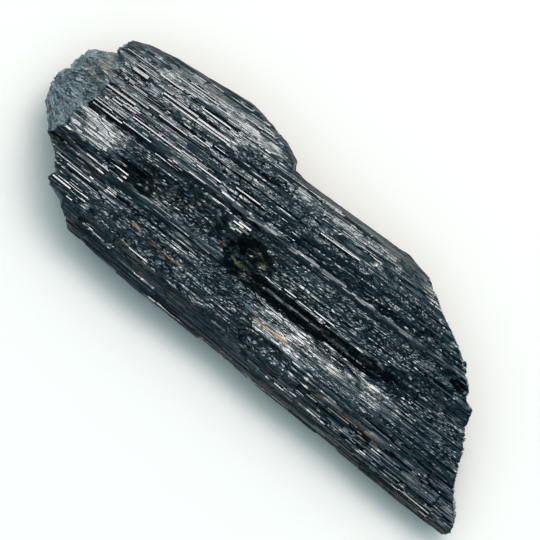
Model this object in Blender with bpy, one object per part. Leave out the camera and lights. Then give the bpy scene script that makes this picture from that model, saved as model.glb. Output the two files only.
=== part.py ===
"""Black tourmaline (schorl): a broken length of one striated crystal, lying on its flat side.

The crystal's long axis (the c axis) runs along X, and its ribs and grooves follow it.
Along is measured from the blunt end, where the fracture slopes, to the sharp end.
Across is measured from the middle, towards +Y. Height is measured from the resting face.
All of these are millimetres, and only the finished points are turned into metres.
"""

import bmesh
import bpy
import numpy as np

MM = 0.001
NODE = "tourmaline_crystal"

# The whole stone.
LENGTH = 120.0
FAN_PER_MM = 0.0019  # the ribs spread a little towards the sharp end
MID_ALONG = LENGTH / 2

# How finely the solid is cut: lines along the crystal, and points on each line.
TOP_LINES = 62
SIDE_LINES = 3
BASE_LINES = 10
STATIONS = 42
END_RINGS = 10

MOST_MERGED = 16  # lines round the crystal that become one in the middle of an end
MERGE_WITHIN = 1e-7

# The middle of each broken end, where its rings meet, as (across, height).
BLUNT_MIDDLE = (3.6, 13.0)
SHARP_MIDDLE = (-3.0, 9.5)
END_JITTER = 0.35

# The top lines at mid-length, counted from one side to a little past the other.
FIRST_LINE = -21.6
LAST_LINE = 25.6

# The relief that can be felt with a finger.
RIB_RELIEF = 0.24
BLOCK_STEP = 0.30
SIDE_RELIEF = 1.5  # times the ribs on the top
FRACTURE_LUMPS = [(4.3, 0.8), (2.0, 0.5), (1.1, 0.25)]  # how wide, and how deep
FRACTURE_STEP = 0.5
RESTING_DROP = 6.0  # below this height the ends curve in towards the resting face

# Seen from above: (along, across) of the two long sides.
LEFT_SIDE = [(0, -18.2), (19, -18.2), (21, -19.1), (30, -20.0), (38, -20.5), (63, -20.8),
             (69, -21.3), (85, -21.7), (98, -22.3), (120, -22.7)]
RIGHT_SIDE = [(0, 19.1), (8.2, 19.1), (11.7, 20.6), (18, 21.9), (27, 22.7), (35.5, 23.6),
              (38.5, 23.3), (42, 22.5), (45.8, 21.5), (49.4, 19.7), (50.3, 18.0),
              (53.5, 17.7), (79, 18.3), (86, 17.0), (120, 17.0)]

# Seen from above: (across, along) of the two broken ends.
BLUNT_END = [(-18.2, 19.2), (-16.9, 18.2), (-16.4, 17.1), (-14.8, 16.1), (-14.4, 14.6),
             (-14.1, 12.4), (-13.1, 11.4), (-11.8, 11.3), (-10.9, 12.2), (-9.7, 10.5),
             (-6.8, 8.0), (-5.8, 5.8), (-4.2, 4.4), (-3.3, 2.8), (-0.6, 1.3), (1.1, 1.0),
             (2.4, 0.2), (4.7, 0.0), (6.3, 0.5), (7.0, 1.2), (10.5, 1.4), (12.2, 2.4),
             (13.6, 4.1), (15.2, 7.4), (19.2, 8.3)]
SHARP_END = [(-22.7, 119.2), (-21.5, 120.0), (-19.9, 119.8), (-14.8, 115.9), (-13.0, 114.5),
             (-7.1, 111.8), (-3.3, 109.6), (-0.7, 108.7), (1.1, 107.8), (2.0, 105.9),
             (3.9, 105.1), (5.7, 103.0), (8.0, 101.0), (8.2, 99.6), (9.4, 98.3),
             (14.1, 89.7), (17.0, 85.4)]
# Where the ribbed top breaks off into the sloping fracture, and how low that slope runs.
FRACTURE_TOP = [(-5.8, 5.8), (-2.5, 7.4), (1.2, 8.0), (6.2, 9.6), (10.0, 9.8), (10.8, 6.2),
                (11.6, 6.0), (12.2, 9.4), (15.2, 9.6), (15.6, 8.0)]
FRACTURE_FOOT = 14.5

# The long edges between the crystal's faces, as (along, across, height), from -Y to +Y.
TOP_EDGES = [
    # the two steps of the low, dark side
    [(20, -17.2, 14.6), (50, -18.4, 13.6), (90, -19.7, 13.0), (119, -20.8, 11.0)],
    [(12, -13.4, 18.2), (30, -14.8, 17.6), (50, -15.6, 17.2), (62, -14.8, 17.4),
     (78, -14.2, 17.6), (100, -14.6, 15.6), (116, -15.5, 12.5)],
    # the crest of the broad rib, and the trough at the foot of its bright face
    [(10, -9.5, 20.8), (30, -11.5, 19.9), (50, -12.4, 18.8), (62, -12.9, 18.8),
     (78, -12.7, 19.0), (92, -12.2, 18.4), (113, -10.5, 14.6)],
    [(8, -6.3, 20.8), (30, -6.4, 20.5), (50, -6.4, 19.0), (58, -6.3, 17.4),
     (75, -6.2, 17.2), (90, -6.1, 17.2), (100, -5.6, 17.2), (110, -5.6, 15.4)],
    # the smooth rib that stops at the cavity, then the bottom of the deep groove
    [(8, -5.5, 21.8), (24, -5.6, 22.8), (26, -5.7, 21.2), (50, -5.7, 20.2),
     (52, -5.5, 15.6), (60, -5.4, 15.0), (90, -5.2, 15.8), (100, -4.8, 17.2), (110, -4.8, 15.6)],
    [(8, -4.2, 22.4), (24, -4.3, 23.2), (26, -4.3, 21.6), (50, -4.2, 20.6),
     (52, -4.2, 15.4), (60, -4.2, 16.6), (90, -4.2, 17.0), (100, -3.6, 17.4), (110, -3.6, 16.0)],
    # the lip above the steep dark wall, and the floor of the rough hollow
    [(8, -2.6, 24.0), (23.5, -2.7, 24.2), (25.5, -2.9, 20.4), (36, -2.4, 19.8),
     (49, -2.6, 19.8), (52, -2.6, 16.8), (59, -3.0, 20.0), (75, -3.1, 21.0),
     (88, -3.1, 20.4), (96, -1.9, 19.2), (108, -1.6, 17.0)],
    [(8, 0.6, 23.4), (21, 1.0, 23.5), (26, 0.8, 21.4), (36, 0.4, 20.4), (44.5, 0.9, 21.6),
     (46.5, 1.0, 23.6), (50.6, 1.2, 23.8), (51.8, 1.2, 20.6), (58, 1.4, 21.9),
     (75, 1.2, 22.8), (96, 1.0, 21.6), (107, 1.0, 18.8)],
    # the narrow straight rib with its flat crest, and the groove beside it
    [(9, 3.8, 22.7), (22, 4.1, 22.9), (26, 4.1, 24.0), (45, 4.1, 24.0), (47, 4.0, 23.1),
     (50.6, 4.0, 23.1), (52.5, 4.0, 24.3), (90, 4.3, 23.2), (102, 4.6, 20.4)],
    [(9, 5.0, 24.2), (50, 4.7, 25.2), (90, 4.9, 24.2), (102, 5.2, 21.6)],
    [(9, 5.8, 24.2), (50, 5.6, 25.1), (90, 5.8, 24.1), (102, 6.0, 21.3)],
    [(9, 6.5, 24.2), (36, 6.4, 24.9), (50, 6.3, 24.5), (62, 6.3, 23.8), (90, 6.6, 22.4),
     (100, 6.7, 20.4)],
    # the highest rough ridge
    [(6, 10.2, 23.4), (30, 10.4, 25.0), (50, 9.8, 26.2), (75, 9.9, 26.2), (90, 9.6, 24.4),
     (97, 9.3, 22.0)],
    [(8, 12.9, 23.0), (30, 13.0, 24.5), (50, 12.8, 25.3), (75, 12.9, 25.0), (90, 12.4, 22.8)],
    # the thin dark groove and the light flank beyond it
    [(8, 13.7, 22.8), (36, 13.7, 24.2), (43, 13.5, 24.0), (75, 13.5, 23.6), (88, 13.3, 22.0)],
    [(8, 14.7, 22.8), (36, 14.9, 24.0), (50, 14.3, 24.1), (75, 14.4, 23.3), (86, 14.6, 21.8)],
    [(8, 16.8, 22.2), (36, 17.4, 23.3), (46, 17.0, 23.3), (78, 16.9, 22.6), (84, 16.4, 21.2)],
]
RIM_INSET = 0.8
LEFT_RIM = [(20, 11.6), (50, 11.0), (90, 9.6), (119, 7.6)]
RIGHT_RIM = [(8, 19.2), (36, 20.0), (50, 20.4), (84, 18.6)]

# Under the rims: (inset from the side's outline, share of the rim's height), then the
# across of the resting face's two edges.
RIGHT_SIDE_FACES = [(0.4, 0.74), (2.1, 0.57), (1.0, 0.42), (4.0, 0.17)]
LEFT_SIDE_FACES = [(0.4, 0.76), (1.9, 0.57), (1.0, 0.42), (3.8, 0.17)]
RESTING_FACE = (-12.5, 10.5)

# Hollows and lumps: (along, across, half length, half width, depth), a lump with less than 0.
HOLLOWS = [
    (54.0, 0.2, 3.0, 2.2, 3.0),  # the mouth of the cavity
    (55.0, -4.6, 4.6, 1.6, 1.6),  # the cavity's long floor
    (31.0, -0.6, 6.0, 2.2, 0.9),
    (42.0, -1.2, 5.0, 2.0, 0.8),
    (93.0, -3.0, 4.5, 2.0, 1.3),
    (103.2, 3.2, 1.8, 1.0, 2.0),
    (64.0, -14.6, 3.0, 1.5, 0.9),
    (36.0, -13.0, 7.0, 1.8, 0.8),
    (85.0, -4.6, 5.0, 1.0, 0.6),
    (26.0, -15.6, 5.0, 1.2, 0.9),
    (60.5, -12.2, 2.6, 1.0, -0.8),
    (80.0, -9.2, 7.0, 2.4, -0.5),
    (55.5, 7.0, 5.0, 1.6, -0.5),
    (14.0, 14.8, 2.2, 0.7, -0.7),
    (19.6, -3.9, 4.6, 1.1, -0.5),
    (43.5, 12.6, 5.5, 2.2, -0.4),
]


def along_line(points, at):
    """The height or place of a line of (position, value) points."""
    return np.interp(at, [p[0] for p in points], [p[1] for p in points])


def random_relief(across_cells, along_cells, seed):
    """Smooth lumps between -1 and 1, one cell apart."""
    table = np.random.default_rng(seed).uniform(-1, 1, (61, 67))
    i = np.floor(across_cells).astype(int)
    k = np.floor(along_cells).astype(int)
    f = across_cells - i
    g = along_cells - k
    f = f * f * (3 - 2 * f)
    g = g * g * (3 - 2 * g)
    near = table[i % 61, k % 67] * (1 - g) + table[i % 61, (k + 1) % 67] * g
    far = table[(i + 1) % 61, k % 67] * (1 - g) + table[(i + 1) % 61, (k + 1) % 67] * g
    return near * (1 - f) + far * f


def fracture(across, height, seed):
    """The lumps of a broken face, over its own width and height."""
    lumps = 0.0
    for width, depth in FRACTURE_LUMPS:
        lumps = lumps + depth * random_relief(across / width + 40, height / width + 40, seed)
        seed += 1
    return np.where(lumps > 0.1, lumps + FRACTURE_STEP, lumps)


def top_height(along, across):
    """The crystal's faces: flat between each two neighbouring long edges."""
    left = along_line(LEFT_SIDE, along)
    right = along_line(RIGHT_SIDE, along)
    edges = [(left, along_line(LEFT_RIM, along))]
    for edge in TOP_EDGES:
        edges.append((along_line([(p[0], p[1]) for p in edge], along),
                      along_line([(p[0], p[2]) for p in edge], along)))
    edges.append((right - RIM_INSET, along_line(RIGHT_RIM, along) + 1.6))
    edges.append((right, along_line(RIGHT_RIM, along)))
    height = edges[0][1].copy()
    for (across_0, height_0), (across_1, height_1) in zip(edges, edges[1:]):
        share = (across - across_0) / np.maximum(across_1 - across_0, 0.05)
        face = height_0 + (height_1 - height_0) * np.clip(share, 0, 1)
        height = np.where(across >= across_0, face, height)
    for u, v, half_u, half_v, depth in HOLLOWS:
        reach = ((along - u) / half_u) ** 2 + ((across - v) / half_v) ** 2
        height -= depth * np.clip(1 - reach, 0, 1) ** 0.7
    return height


def blunt_end(across, height):
    """How far along the crystal starts: a sloping fracture in the middle, steep beside it."""
    low = along_line(BLUNT_END, across)
    high = along_line(FRACTURE_TOP, across)
    high = np.where((across > -5.8) & (across < 15.6), np.maximum(high, low), low)
    crest = top_height(high, across)
    slope = np.clip((crest - height) / np.maximum(crest - FRACTURE_FOOT, 1), 0, 1)
    start = high + (low - high) * slope
    start = start + 0.22 * np.maximum(FRACTURE_FOOT - height, 0)
    start = start + 0.9 * np.maximum(RESTING_DROP - height, 0)
    # The lumps die out at the crest and at the foot, which keep the outline.
    inside = np.clip((crest - height) / 2.0, 0, 1)
    inside = inside * np.clip(np.abs(height - FRACTURE_FOOT) / 2.5, 0.1, 1)
    return start + fracture(across, height, 5) * inside


def sharp_end(across, height):
    """How far along the crystal ends: a steep oblique break, a little undercut."""
    end = along_line(SHARP_END, across)
    crest = top_height(end, across)
    end = end - 0.08 * (crest - height) - 0.5 * np.maximum(RESTING_DROP - height, 0)
    inside = np.clip((crest - height) / 2.0, 0, 1)
    return end - np.abs(fracture(across, height, 8)) * inside


def section(ring, along):
    """Across and height of a line round the crystal at a place along it, and which way it faces."""
    left = along_line(LEFT_SIDE, along)
    right = along_line(RIGHT_SIDE, along)
    right_rim = along_line(RIGHT_RIM, along)
    left_rim = along_line(LEFT_RIM, along)
    # The top lines keep their place on the fan, and past a side's outline they run down it.
    place = FIRST_LINE + (LAST_LINE - FIRST_LINE) * ring / (TOP_LINES - 1)
    fanned = place * (1 + FAN_PER_MM * (along - MID_ALONG))
    across = np.clip(fanned, left, right)
    height = top_height(along, across)
    inset, foot = RIGHT_SIDE_FACES[0]
    past = np.clip((fanned - right) / np.maximum(26.5 - right, 0.5), 0, 1)
    height = np.where(fanned > right, right_rim * (1 + (foot - 1) * past), height)
    across = np.where(fanned > right, right - inset * past, across)
    inset, foot = LEFT_SIDE_FACES[0]
    past = np.clip((left - fanned) / 3.5, 0, 1)
    height = np.where(fanned < left, left_rim * (1 + (foot - 1) * past), height)
    across = np.where(fanned < left, left + inset * past, across)
    facing = np.where(fanned > right, 1, np.where(fanned < left, -1, 0))
    # The other lines are spread over the right side, the resting face and the left side.
    under = [(right - inset, right_rim * share) for inset, share in RIGHT_SIDE_FACES]
    under.append((RESTING_FACE[1] + 0 * right, 0 * right))
    under.append((RESTING_FACE[0] + 0 * right, 0 * right))
    under.extend((left + inset, left_rim * share) for inset, share in reversed(LEFT_SIDE_FACES))
    first = TOP_LINES
    for (across_0, height_0), (across_1, height_1), count in zip(under, under[1:], UNDER_LINES):
        share = (ring - first + 1) / count
        here = (ring >= first) & (ring < first + count)
        across = np.where(here, across_0 + (across_1 - across_0) * share, across)
        height = np.where(here, height_0 + (height_1 - height_0) * share, height)
        facing = np.where(here, np.sign(across_0 - np.mean(RESTING_FACE)), facing)
        first += count
    return across, height, facing


UNDER_LINES = 4 * [SIDE_LINES] + [BASE_LINES] + 4 * [SIDE_LINES]
RINGS = TOP_LINES + sum(UNDER_LINES)


def ribs(ring, along):
    """Every second line is a crest, and the blocks between breaks stand at their own heights."""
    random = np.random.default_rng(11)
    strength = random.uniform(0.35, 1.5, RINGS)[ring]
    crest = np.where(ring % 2 == 0, 1.0, -1.0)
    relief = RIB_RELIEF * strength * crest
    starts = random.uniform(0, 40, RINGS // 2 + 1)[ring // 2]
    lengths = random.uniform(9, 34, RINGS // 2 + 1)[ring // 2]
    block = np.floor((along + starts) / lengths).astype(int)
    steps = random.uniform(-1, 1, (RINGS // 2 + 1, 20))
    return relief + BLOCK_STEP * steps[ring // 2, block % 20]


def crystal_points(ring, share):
    """Where the surface is, for a line round the crystal and a share of its length."""
    along_0 = np.full(ring.shape, 10.0)
    along_1 = np.full(ring.shape, 110.0)
    for _ in range(8):
        across, height, _ = section(ring, along_0)
        along_0 = 0.5 * along_0 + 0.5 * blunt_end(across, height)
        across, height, _ = section(ring, along_1)
        along_1 = 0.5 * along_1 + 0.5 * sharp_end(across, height)
    along = along_0 + (along_1 - along_0) * share
    across, height, facing = section(ring, along)
    relief = ribs(ring, along) * np.clip(np.minimum(share, 1 - share) * 14, 0, 1)
    resting = height < 0.01
    height = np.where(facing == 0, height + relief, height)
    across = np.where(resting, across, across + facing * relief * SIDE_RELIEF)
    return along, across, height


def crystal_mesh():
    """A sphere whose poles are the two broken ends, with each point moved to the surface."""
    shape = bmesh.new()
    slices = STATIONS + 2 * END_RINGS - 1
    bmesh.ops.create_uvsphere(shape, u_segments=RINGS, v_segments=slices, radius=1)
    ball = np.array([v.co for v in shape.verts])
    slice_at = np.rint(np.arccos(np.clip(ball[:, 2], -1, 1)) / np.pi * slices).astype(int)
    turn = np.arctan2(ball[:, 1], ball[:, 0]) / (2 * np.pi)
    ring = np.rint(turn * RINGS).astype(int) % RINGS
    # The middle slices run along the crystal, and the rest close its two ends.
    share = np.clip((slice_at - END_RINGS) / (STATIONS - 1), 0, 1)
    at_blunt = np.clip((END_RINGS - slice_at) / END_RINGS, 0, 1)
    at_sharp = np.clip((slice_at - END_RINGS - STATIONS + 1) / END_RINGS, 0, 1)
    # Neighbouring lines merge towards the middle of an end, so its triangles stay even.
    inward = np.maximum(at_blunt, at_sharp)
    merged = 2 ** np.floor(np.log2(1 / np.maximum(1 - inward, 1 / MOST_MERGED))).astype(int)
    ring = ring // merged * merged
    along, across, height = crystal_points(ring, share)
    random = np.random.default_rng(17)
    jitter = random.uniform(-END_JITTER, END_JITTER, (2, RINGS, slices + 1))
    for inward, end, (middle, middle_height) in (
        (at_blunt, blunt_end, BLUNT_MIDDLE),
        (at_sharp, sharp_end, SHARP_MIDDLE),
    ):
        closing = inward > 0
        shake = closing * np.clip(inward * 4, 0, 1)
        across = across + (middle - across) * inward + shake * jitter[0, ring, slice_at]
        height = height + (middle_height - height) * inward + shake * jitter[1, ring, slice_at]
        along = np.where(closing, end(across, height), along)
    points = np.stack([along, across, height], axis=1)
    low, high = points.min(axis=0), points.max(axis=0)
    points -= [(low[0] + high[0]) / 2, (low[1] + high[1]) / 2, low[2]]
    for vertex, point in zip(shape.verts, points):
        vertex.co = point * MM
    mesh = bpy.data.meshes.new(NODE)
    bmesh.ops.remove_doubles(shape, verts=shape.verts, dist=MERGE_WITHIN)
    shape.to_mesh(mesh)
    shape.free()
    return mesh


def schorl_material():
    """Black tourmaline: near-black with a cold tint and a glassy shine."""
    material = bpy.data.materials.new("schorl")
    material.use_nodes = True
    surface = material.node_tree.nodes["Principled BSDF"]
    surface.inputs["Base Color"].default_value = (0.030, 0.040, 0.047, 1)
    surface.inputs["Roughness"].default_value = 0.35
    surface.inputs["Metallic"].default_value = 0.0
    surface.inputs["IOR"].default_value = 1.64
    return material


def build():
    for old in list(bpy.data.objects):
        bpy.data.objects.remove(old)
    parts = bpy.data.collections.new("tourmaline crystal")
    bpy.context.scene.collection.children.link(parts)
    crystal = bpy.data.objects.new(NODE, crystal_mesh())
    crystal.data.materials.append(schorl_material())
    parts.objects.link(crystal)


build()
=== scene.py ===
# %% [markdown]
# # A length of black tourmaline
# Schorl, the black tourmaline, grows as long prisms whose sides are covered with straight ribs
# that all follow the long axis. This one is a broken length, lying on a flat side: a ribbed top
# with a few deep grooves and rough hollows, a sloping fracture at the blunt end, and an oblique
# break at the sharp end. The solid model comes first, and everything here is fitted to it.

# %% Load the solid model
import math

import bmesh
import bpy
import numpy as np
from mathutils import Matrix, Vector


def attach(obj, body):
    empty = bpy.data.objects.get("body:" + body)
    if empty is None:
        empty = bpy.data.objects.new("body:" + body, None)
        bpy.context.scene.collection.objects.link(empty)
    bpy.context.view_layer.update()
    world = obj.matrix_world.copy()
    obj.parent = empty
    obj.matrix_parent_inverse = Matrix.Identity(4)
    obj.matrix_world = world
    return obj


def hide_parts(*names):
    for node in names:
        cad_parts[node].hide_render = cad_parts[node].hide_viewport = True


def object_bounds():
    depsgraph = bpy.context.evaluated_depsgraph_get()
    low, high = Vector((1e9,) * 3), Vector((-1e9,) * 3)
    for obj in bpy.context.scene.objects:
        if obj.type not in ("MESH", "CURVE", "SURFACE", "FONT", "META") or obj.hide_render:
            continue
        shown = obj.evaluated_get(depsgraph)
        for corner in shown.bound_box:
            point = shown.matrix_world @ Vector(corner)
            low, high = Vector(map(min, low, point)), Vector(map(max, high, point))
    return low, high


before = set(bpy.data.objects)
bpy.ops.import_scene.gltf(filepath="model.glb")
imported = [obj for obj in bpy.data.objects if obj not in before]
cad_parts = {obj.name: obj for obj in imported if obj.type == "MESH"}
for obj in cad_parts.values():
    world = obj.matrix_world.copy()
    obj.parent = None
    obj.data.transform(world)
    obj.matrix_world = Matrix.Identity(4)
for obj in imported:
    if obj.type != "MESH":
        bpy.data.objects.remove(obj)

SOLID = "tourmaline_crystal"
solid_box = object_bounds()
print("solid:", [round(1000 * side, 1) for side in solid_box[1] - solid_box[0]], "mm")

# %% [markdown]
# ## Small helpers
# Colours are written as the hex values a colour picker shows, and one function turns them into
# the linear numbers that shaders use. A second function adds any node. It could hand back the
# node's sockets one by one, but a tree reads more easily when a node can be passed on as it is.

# %% Helpers
MM = 0.001


def linear(hex_colour):
    """An sRGB hex colour as linear red, green, blue and an alpha of 1."""
    parts = [int(hex_colour[i:i + 2], 16) / 255 for i in (1, 3, 5)]
    return [c / 12.92 if c <= 0.04045 else ((c + 0.055) / 1.055) ** 2.4 for c in parts] + [1.0]


def node(tree, kind, *values, **settings):
    """Adds a node with its settings and links.

    The values fill its inputs in order, or one dict fills them by name. A value is a number, the
    output that feeds the input, or a node, which stands for its first output. A kind written in
    capitals is an operation of the Math node.
    """
    if kind.isupper():
        kind, settings = "ShaderNodeMath", {"operation": kind}
    made = tree.nodes.new(kind)
    for name, setting in settings.items():
        setattr(made, name, setting)
    inputs = values[0] if values and isinstance(values[0], dict) else dict(enumerate(values))
    for socket, value in inputs.items():
        if isinstance(value, bpy.types.Node):
            value = value.outputs[0]
        if isinstance(value, bpy.types.NodeSocket):
            tree.links.new(value, made.inputs[socket])
        else:
            made.inputs[socket].default_value = value
    return made


print("colour check, mid grey:", [round(c, 3) for c in linear("#808080")])

# %% [markdown]
# ## The outline
# Seen from above, the stone has two long sides and two broken ends. Along is measured from the
# blunt end and across from the middle, both in millimetres, as in the solid model. A curve could
# trace it, but broken crystal is made of straight stretches, so short lists of points are enough.

# %% Outline seen from above
LENGTH = 120.0
MID_ALONG = LENGTH / 2
SOLID_MIDDLE = (59.952, 0.526)  # the along and across that lie at the frame's origin
FAN_PER_MM = 0.0019  # the ribs spread a little towards the sharp end

LEFT_SIDE = [(0, -18.2), (19, -18.2), (21, -19.1), (30, -20.0), (38, -20.5), (63, -20.8),
             (69, -21.3), (85, -21.7), (98, -22.3), (120, -22.7)]
RIGHT_SIDE = [(0, 19.1), (8.2, 19.1), (11.7, 20.6), (18, 21.9), (27, 22.7), (35.5, 23.6),
              (38.5, 23.3), (42, 22.5), (45.8, 21.5), (49.4, 19.7), (50.3, 18.0),
              (53.5, 17.7), (79, 18.3), (86, 17.0), (120, 17.0)]
BLUNT_END = [(-18.2, 19.2), (-16.9, 18.2), (-16.4, 17.1), (-14.8, 16.1), (-14.4, 14.6),
             (-14.1, 12.4), (-13.1, 11.4), (-11.8, 11.3), (-10.9, 12.2), (-9.7, 10.5),
             (-6.8, 8.0), (-5.8, 5.8), (-4.2, 4.4), (-3.3, 2.8), (-0.6, 1.3), (1.1, 1.0),
             (2.4, 0.2), (4.7, 0.0), (6.3, 0.5), (7.0, 1.2), (10.5, 1.4), (12.2, 2.4),
             (13.6, 4.1), (15.2, 7.4), (19.2, 8.3)]
SHARP_END = [(-22.7, 119.2), (-21.5, 120.0), (-19.9, 119.8), (-14.8, 115.9), (-13.0, 114.5),
             (-7.1, 111.8), (-3.3, 109.6), (-0.7, 108.7), (1.1, 107.8), (2.0, 105.9),
             (3.9, 105.1), (5.7, 103.0), (8.0, 101.0), (8.2, 99.6), (9.4, 98.3),
             (14.1, 89.7), (17.0, 85.4)]


def along_line(points, at):
    """The value of a line of (position, value) points at some positions."""
    return np.interp(at, [p[0] for p in points], [p[1] for p in points])


widths = along_line(RIGHT_SIDE, [20, 60, 90]) - along_line(LEFT_SIDE, [20, 60, 90])
print("width at 20, 60 and 90 mm:", np.round(widths, 1))

# %% [markdown]
# ## The faces between the long edges
# A crystal's top could be sculpted, but its form is a rule: straight edges run along it, and the
# faces between them are flat. So each edge is a short list of (along, across, height) points, and
# any other point of the top is found between its two neighbouring edges.

# %% Long edges of the top, from -Y to +Y
TOP_EDGES = [
    # the two steps of the low, dark side
    [(20, -17.2, 14.6), (50, -18.4, 13.6), (90, -19.7, 13.0), (119, -20.8, 11.0)],
    [(12, -13.4, 18.2), (30, -14.8, 17.6), (50, -15.6, 17.2), (62, -14.8, 17.4),
     (78, -14.2, 17.6), (100, -14.6, 15.6), (116, -15.5, 12.5)],
    # the crest of the broad rib, and the trough at the foot of its bright face
    [(10, -9.5, 20.8), (30, -11.5, 19.9), (50, -12.4, 18.8), (62, -12.9, 18.8),
     (78, -12.7, 19.0), (92, -12.2, 18.4), (113, -10.5, 14.6)],
    [(8, -6.3, 20.8), (30, -6.4, 20.5), (50, -6.4, 19.0), (58, -6.3, 17.4),
     (75, -6.2, 17.2), (90, -6.1, 17.2), (100, -5.6, 17.2), (110, -5.6, 15.4)],
    # the smooth rib that stops at the cavity, then the bottom of the deep groove
    [(8, -5.5, 21.8), (24, -5.6, 22.8), (26, -5.7, 21.2), (50, -5.7, 20.2),
     (52, -5.5, 15.6), (60, -5.4, 15.0), (90, -5.2, 15.8), (100, -4.8, 17.2), (110, -4.8, 15.6)],
    [(8, -4.2, 22.4), (24, -4.3, 23.2), (26, -4.3, 21.6), (50, -4.2, 20.6),
     (52, -4.2, 15.4), (60, -4.2, 16.6), (90, -4.2, 17.0), (100, -3.6, 17.4), (110, -3.6, 16.0)],
    # the lip above the steep dark wall, and the floor of the rough hollow
    [(8, -2.6, 24.0), (23.5, -2.7, 24.2), (25.5, -2.9, 20.4), (36, -2.4, 19.8),
     (49, -2.6, 19.8), (52, -2.6, 16.8), (59, -3.0, 20.0), (75, -3.1, 21.0),
     (88, -3.1, 20.4), (96, -1.9, 19.2), (108, -1.6, 17.0)],
    [(8, 0.6, 23.4), (21, 1.0, 23.5), (26, 0.8, 21.4), (36, 0.4, 20.4), (44.5, 0.9, 21.6),
     (46.5, 1.0, 23.6), (50.6, 1.2, 23.8), (51.8, 1.2, 20.6), (58, 1.4, 21.9),
     (75, 1.2, 22.8), (96, 1.0, 21.6), (107, 1.0, 18.8)],
    # the narrow straight rib with its flat crest, and the groove beside it
    [(9, 3.8, 22.7), (22, 4.1, 22.9), (26, 4.1, 24.0), (45, 4.1, 24.0), (47, 4.0, 23.1),
     (50.6, 4.0, 23.1), (52.5, 4.0, 24.3), (90, 4.3, 23.2), (102, 4.6, 20.4)],
    [(9, 5.0, 24.2), (50, 4.7, 25.2), (90, 4.9, 24.2), (102, 5.2, 21.6)],
    [(9, 5.8, 24.2), (50, 5.6, 25.1), (90, 5.8, 24.1), (102, 6.0, 21.3)],
    [(9, 6.5, 24.2), (36, 6.4, 24.9), (50, 6.3, 24.5), (62, 6.3, 23.8), (90, 6.6, 22.4),
     (100, 6.7, 20.4)],
    # the highest rough ridge
    [(6, 10.2, 23.4), (30, 10.4, 25.0), (50, 9.8, 26.2), (75, 9.9, 26.2), (90, 9.6, 24.4),
     (97, 9.3, 22.0)],
    [(8, 12.9, 23.0), (30, 13.0, 24.5), (50, 12.8, 25.3), (75, 12.9, 25.0), (90, 12.4, 22.8)],
    # the thin dark groove and the light flank beyond it
    [(8, 13.7, 22.8), (36, 13.7, 24.2), (43, 13.5, 24.0), (75, 13.5, 23.6), (88, 13.3, 22.0)],
    [(8, 14.7, 22.8), (36, 14.9, 24.0), (50, 14.3, 24.1), (75, 14.4, 23.3), (86, 14.6, 21.8)],
    [(8, 16.8, 22.2), (36, 17.4, 23.3), (46, 17.0, 23.3), (78, 16.9, 22.6), (84, 16.4, 21.2)],
]
RIM_INSET = 0.8  # the last edge before the right rim lies this far in, and a little higher
RIM_RISE = 1.6
LEFT_RIM = [(20, 11.6), (50, 11.0), (90, 9.6), (119, 7.6)]
RIGHT_RIM = [(8, 19.2), (36, 20.0), (50, 20.4), (84, 18.6)]
print(len(TOP_EDGES), "edges between the two rims")

# %% Hollows and lumps: (along, across, half length, half width, depth), a lump with less than 0
HOLLOWS = [
    (54.0, 0.2, 3.0, 2.2, 3.0),  # the mouth of the cavity
    (55.0, -4.6, 4.6, 1.6, 1.6),  # the cavity's long floor
    (31.0, -0.6, 6.0, 2.2, 0.9),
    (42.0, -1.2, 5.0, 2.0, 0.8),
    (93.0, -3.0, 4.5, 2.0, 1.3),
    (103.2, 3.2, 1.8, 1.0, 2.0),
    (64.0, -14.6, 3.0, 1.5, 0.9),
    (36.0, -13.0, 7.0, 1.8, 0.8),
    (85.0, -4.6, 5.0, 1.0, 0.6),
    (26.0, -15.6, 5.0, 1.2, 0.9),
    (60.5, -12.2, 2.6, 1.0, -0.8),
    (80.0, -9.2, 7.0, 2.4, -0.5),
    (55.5, 7.0, 5.0, 1.6, -0.5),
    (14.0, 14.8, 2.2, 0.7, -0.7),
    (19.6, -3.9, 4.6, 1.1, -0.5),
    (43.5, 12.6, 5.5, 2.2, -0.4),
]
print(len(HOLLOWS), "hollows and lumps, the deepest", max(spot[4] for spot in HOLLOWS), "mm")


# %% Height of the top
def top_height(along, across):
    """The height of the top: flat between each two neighbouring long edges, less the hollows."""
    left = along_line(LEFT_SIDE, along)
    right = along_line(RIGHT_SIDE, along)
    edges = [(left, along_line(LEFT_RIM, along))]
    for edge in TOP_EDGES:
        edges.append((along_line([(p[0], p[1]) for p in edge], along),
                      along_line([(p[0], p[2]) for p in edge], along)))
    edges.append((right - RIM_INSET, along_line(RIGHT_RIM, along) + RIM_RISE))
    edges.append((right, along_line(RIGHT_RIM, along)))
    height = edges[0][1].copy()
    for (across_0, height_0), (across_1, height_1) in zip(edges, edges[1:]):
        share = (across - across_0) / np.maximum(across_1 - across_0, 0.05)
        face = height_0 + (height_1 - height_0) * np.clip(share, 0, 1)
        height = np.where(across >= across_0, face, height)
    for u, v, half_u, half_v, depth in HOLLOWS:
        reach = ((along - u) / half_u) ** 2 + ((across - v) / half_v) ** 2
        height -= depth * np.clip(1 - reach, 0, 1) ** 0.7
    return height


crest = top_height(np.linspace(20, 100, 400)[:, None], np.linspace(-15, 15, 300)[None, :])
print("top from", round(float(crest.min()), 1), "to", round(float(crest.max()), 1), "mm high")

# %% [markdown]
# ## The two broken ends
# Tourmaline has no good cleavage, so it snaps across into lumpy, uneven faces. Rough blades could
# cut them from the solid, but the ribs have to run right up to the edge. So an end is made as a
# distance along the crystal for each point across and up: the outline, a slope, and lumps of a
# few sizes. The blunt end's slope is wide, so it shows from above as a matt grey patch.

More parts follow.
